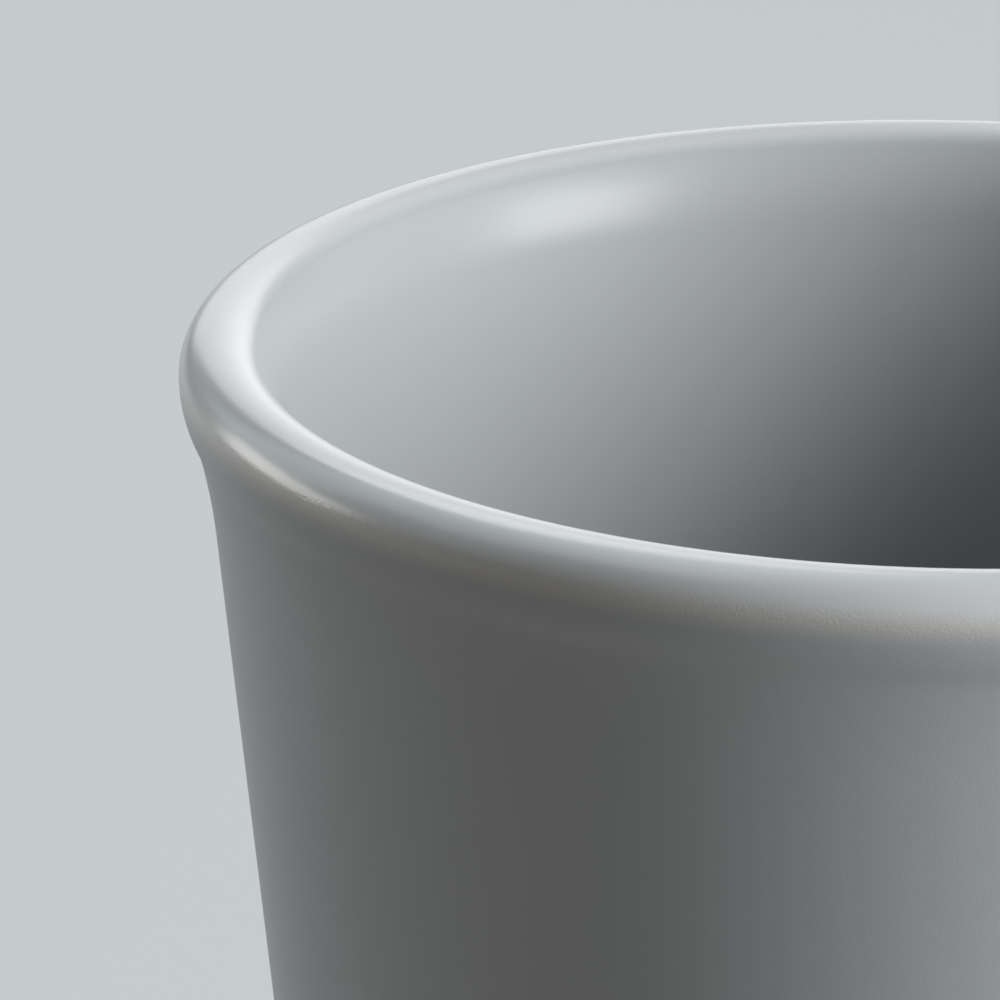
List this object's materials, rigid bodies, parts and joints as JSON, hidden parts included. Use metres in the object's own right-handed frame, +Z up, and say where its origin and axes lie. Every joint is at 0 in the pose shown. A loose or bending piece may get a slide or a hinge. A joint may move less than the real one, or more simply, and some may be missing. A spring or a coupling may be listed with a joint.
{
  "type": "tumbler",
  "caption": "Straight-tapered handleless stoneware tumbler with a rolled lip, soft-gloss glaze inside, satin glaze outside and a bare foot ring, for drinking.",
  "frame": {"origin": "middle of the plane that the foot ring stands on", "axes": "+Z up along the cup's axis, X and Y any two level directions"},
  "size_m": [0.082, 0.082, 0.1],
  "materials": {
    "bare_clay": "bare fired stoneware, matt and slightly gritty",
    "gloss_glaze": "smooth cool grey glaze with a soft gloss",
    "satin_glaze": "cool grey satin glaze with a fine pebbled grain"
  },
  "bodies": {
    "root": {"clay_floor": "bare_clay", "clay_wall": "bare_clay", "lip_roll": "bare_clay", "foot_ring": "bare_clay", "liner_glaze": "gloss_glaze", "outer_glaze": "satin_glaze", "base_glaze": "satin_glaze"}
  },
  "joints": []
}
